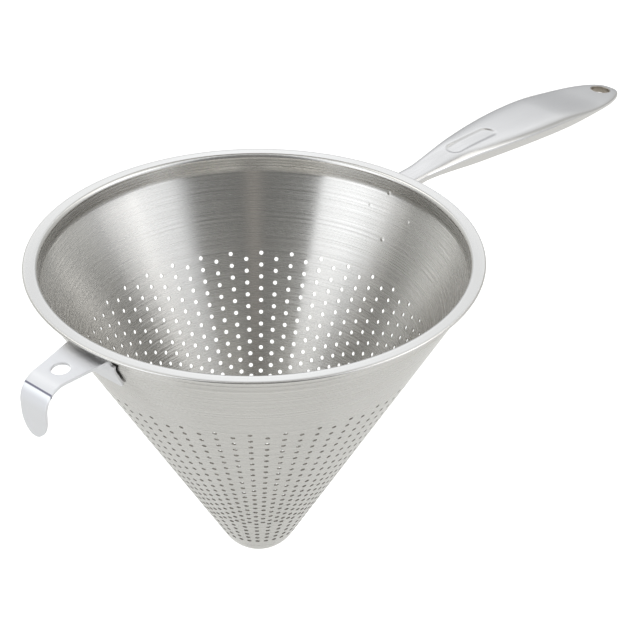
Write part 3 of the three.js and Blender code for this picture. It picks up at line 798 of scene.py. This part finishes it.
def satin_steel(name, colour, roughness, grain):
    """Satin sheet: a faint grain, in the roughness and the bump, with its fineness along each axis."""
    material, tree, shader = steel(name, colour, roughness)
    place = node(tree, "ShaderNodeTexCoord").outputs["Object"]
    stretch = node(tree, "ShaderNodeMapping", inputs={"Vector": place, "Scale": grain}).outputs["Vector"]
    marks = node(tree, "ShaderNodeTexNoise", inputs={
        "Vector": stretch, "Scale": 1.0, "Detail": 5.0}).outputs["Fac"]
    rough = ranged(tree, marks, 0.0, 1.0, roughness - GRAIN_SWING, roughness + GRAIN_SWING)
    tree.links.new(rough, shader.inputs["Roughness"])
    bump = node(tree, "ShaderNodeBump", inputs={
        "Strength": GRAIN_BUMP, "Distance": 0.2 * MM, "Height": marks})
    tree.links.new(bump.outputs["Normal"], shader.inputs["Normal"])
    return material


def hook_steel():
    """Satin sheet with painted shade, a dark line along the crease where the hook's bend starts, and a
    painted highlight, a bright band beyond it."""
    material = satin_steel("hook_steel", HOOK_COLOUR, HOOK_ROUGHNESS, (900, 60, 300))
    tree = material.node_tree
    place = node(tree, "ShaderNodeTexCoord").outputs["Object"]
    along = node(tree, "ShaderNodeSeparateXYZ", inputs={"Vector": place}).outputs["X"]
    aside = math_node(tree, "ADD", along, HOOK_CREASE_REACH * MM)
    away = math_node(tree, "ABSOLUTE", aside)
    # Painted shade: a dark line in the base colour along the crease
    inner, outer = CREASE_HALF_WIDTH
    line = ranged(tree, away, inner * MM, outer * MM, 1.0, 0.0, "SMOOTHSTEP")
    # Painted highlight: a near-white band in the base colour beyond the crease
    full, faded = PAINTED_HIGHLIGHT_WIDTH
    fading = ranged(tree, aside, -faded * MM, -full * MM, kind="SMOOTHSTEP")
    band = math_node(tree, "MULTIPLY", fading, math_node(tree, "LESS_THAN", aside, 0.0))
    highlighted = mixed(tree, band, (*HOOK_COLOUR, 1), (*PAINTED_HIGHLIGHT_COLOUR, 1))
    shade = mixed(tree, line, highlighted, (*CREASE_PAINTED_SHADE, 1))
    tree.links.new(shade, tree.nodes["Principled BSDF"].inputs["Base Color"])
    return material


# Studio

def turned_about(axis, angle, vector):
    """Vector turned about a unit axis by an angle."""
    return (vector * np.cos(angle) + np.cross(axis, vector) * np.sin(angle)
            + axis * np.dot(axis, vector) * (1 - np.cos(angle)))


def place_camera():
    """Camera on the photograph's side of the cone, turned so that the rim's centre falls on its pixel."""
    level = np.array([-np.cos(HANDLE_AZIMUTH), -np.sin(HANDLE_AZIMUTH), 0])
    place = CAMERA_DISTANCE * (level * np.cos(CAMERA_ELEVATION) + np.array([0, 0, np.sin(CAMERA_ELEVATION)]))
    ahead = -place / CAMERA_DISTANCE
    right = np.cross(ahead, [0, 0, 1])
    right = right / np.linalg.norm(right)
    up = np.cross(right, ahead)
    aside, below = (RIM_CENTRE_PIXEL - FRAME_PIXELS / 2) / FOCAL_PIXELS
    yaw = np.arctan(aside)
    pitch = np.arctan2(below, np.hypot(1, aside))
    ahead, right = turned_about(up, yaw, ahead), turned_about(up, yaw, right)
    ahead, up = turned_about(right, pitch, ahead), turned_about(right, pitch, up)
    right, up = turned_about(ahead, CAMERA_ROLL, right), turned_about(ahead, CAMERA_ROLL, up)
    data = bpy.data.cameras.new("camera")
    data.sensor_width = SENSOR_WIDTH
    data.lens = FOCAL_PIXELS * SENSOR_WIDTH / FRAME_PIXELS
    camera = bpy.data.objects.new("camera", data)
    turn = Matrix(np.stack([right, up, -ahead], axis=-1).tolist()).to_4x4()
    camera.matrix_world = Matrix.Translation((place * MM).tolist()) @ turn
    bpy.context.scene.collection.objects.link(camera)
    bpy.context.scene.camera = camera


def softbox(name, azimuth, elevation, width, height, power):
    """Area lamp aimed at the rim's centre from an azimuth counted from the camera's."""
    azimuth = HANDLE_AZIMUTH + np.pi + np.radians(azimuth)
    elevation = np.radians(elevation)
    level = np.cos(elevation)
    away = np.array([level * np.cos(azimuth), level * np.sin(azimuth), np.sin(elevation)])
    data = bpy.data.lights.new(name, "AREA")
    data.shape = "RECTANGLE"
    data.size = width
    data.size_y = height
    data.energy = power
    lamp = bpy.data.objects.new(name, data)
    right = np.cross([0, 0, 1], away)
    right = right / np.linalg.norm(right)
    turn = Matrix(np.stack([right, np.cross(away, right), away], axis=-1).tolist()).to_4x4()
    lamp.matrix_world = Matrix.Translation((away * LAMP_DISTANCE).tolist()) @ turn
    lamp.visible_camera = False
    bpy.context.scene.collection.objects.link(lamp)


def light_ramp(tree, angle, lowest, highest, stops):
    """Colour of the light by an angle in radians, blended between stops of degrees, level and colour."""
    along = ranged(tree, angle, float(np.radians(lowest)), float(np.radians(highest)))
    ramp = node(tree, "ShaderNodeValToRGB", inputs={"Fac": along})
    elements = ramp.color_ramp.elements
    elements.remove(elements[1])
    for index, (degrees, level, colour) in enumerate(stops):
        stop = (degrees - lowest) / (highest - lowest)
        element = elements[0] if index == 0 else elements.new(stop)
        element.position = stop
        element.color = (*[level / BRIGHTEST * part for part in colour], 1)
    return ramp.outputs["Color"]


def studio_world():
    """White to the camera. To other rays a room whose light on the camera's side follows the azimuth, with a
    dark middle between two bright sides, and beyond the object follows the height."""
    world = bpy.data.worlds.new("studio")
    bpy.context.scene.world = world
    world.use_nodes = True
    tree = world.node_tree
    background = tree.nodes["Background"]
    direction = node(tree, "ShaderNodeTexCoord").outputs["Generated"]
    cos, sin = float(np.cos(HANDLE_AZIMUTH)), float(np.sin(HANDLE_AZIMUTH))
    facing = vector_node(tree, "DOT_PRODUCT", direction, (-cos, -sin, 0.0))
    sideways = vector_node(tree, "DOT_PRODUCT", direction, (sin, -cos, 0.0))
    azimuth = math_node(tree, "ARCTAN2", sideways, facing)
    upward = node(tree, "ShaderNodeSeparateXYZ", inputs={"Vector": direction}).outputs["Z"]
    near = light_ramp(tree, azimuth, -180, 180, NEAR_LIGHT)
    far = light_ramp(tree, math_node(tree, "ARCSINE", upward), -90, 90, FAR_LIGHT)
    turn = math_node(tree, "ABSOLUTE", azimuth)
    beyond = ranged(tree, turn, float(FAR_FROM), float(FAR_FULL), kind="SMOOTHSTEP")
    room = mixed(tree, beyond, near, far)
    camera_ray = node(tree, "ShaderNodeLightPath").outputs["Is Camera Ray"]
    tree.links.new(mixed(tree, camera_ray, room, (1, 1, 1, 1)), background.inputs["Color"])
    background.inputs["Strength"].default_value = BRIGHTEST


def studio_floor():
    """Pale floor below the tip: a diffuse white that the camera and mirrors also see lit, a little more so
    away from the object for mirrors."""
    half = FLOOR_SIZE / 2
    corners = np.array([[-half, -half], [half, -half], [half, half], [-half, half]])
    points = np.concatenate([corners, np.full((4, 1), FLOOR_HEIGHT)], axis=1) / MM
    material = bpy.data.materials.new("floor")
    material.use_nodes = True
    tree = material.node_tree
    tree.nodes.remove(tree.nodes["Principled BSDF"])
    diffuse = node(tree, "ShaderNodeBsdfDiffuse", inputs={"Color": (*FLOOR_COLOUR, 1)})
    path = node(tree, "ShaderNodeLightPath")
    seen = math_node(tree, "MULTIPLY", path.outputs["Is Camera Ray"], FLOOR_SEEN_GLOW)
    place = node(tree, "ShaderNodeTexCoord").outputs["Object"]
    away = vector_node(tree, "LENGTH", vector_node(tree, "MULTIPLY", place, (1, 1, 0)))
    level = ranged(tree, away, *FLOOR_GLOW_REACH, *FLOOR_MIRROR_GLOW, "SMOOTHSTEP")
    glow = math_node(tree, "MULTIPLY_ADD", path.outputs["Is Glossy Ray"], level, seen)
    emission = node(tree, "ShaderNodeEmission", inputs={"Strength": glow})
    both = node(tree, "ShaderNodeAddShader", inputs={
        0: diffuse.outputs["BSDF"], 1: emission.outputs["Emission"]})
    tree.links.new(both.outputs["Shader"], tree.nodes["Material Output"].inputs["Surface"])
    mesh_piece("floor", points, np.array([[0, 1, 2, 3]]), material)


# Assembly

spun = spun_steel()
hook_finish = hook_steel()
handle_finish = satin_steel("handle_steel", (0.63, 0.615, 0.595), 0.22, (40, 700, 700))
# Painted shade: the sleeve's dark brown colour stands in for the shade inside the hanging hole
sleeve_painted_shade_finish = satin_steel("sleeve_steel", (0.36, 0.32, 0.27), 0.42, (400, 400, 80))
bracket_finish = satin_steel("bracket_steel", (0.62, 0.62, 0.62), 0.4, (300, 300, 300))

PIECES = [
    (cone_piece(spun), ["strainer_cone"], "cone_steel"),
    (hook_piece(hook_finish), ["pot_hook"], "hook_steel"),
    (handle_piece(handle_finish), ["handle_upper_shell", "handle_lower_shell"], "handle_steel"),
    (sleeve_piece(sleeve_painted_shade_finish), ["hanging_sleeve"], "sleeve_steel"),
    (bracket_piece(bracket_finish), ["handle_bracket"], "bracket_steel"),
]
for piece, nodes, slot in PIECES:
    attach(piece, "root")
    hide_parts(*nodes)

place_camera()
studio_world()
studio_floor()
for lamp in LAMPS:
    softbox(*lamp)
bpy.context.scene.view_settings.view_transform = "Standard"
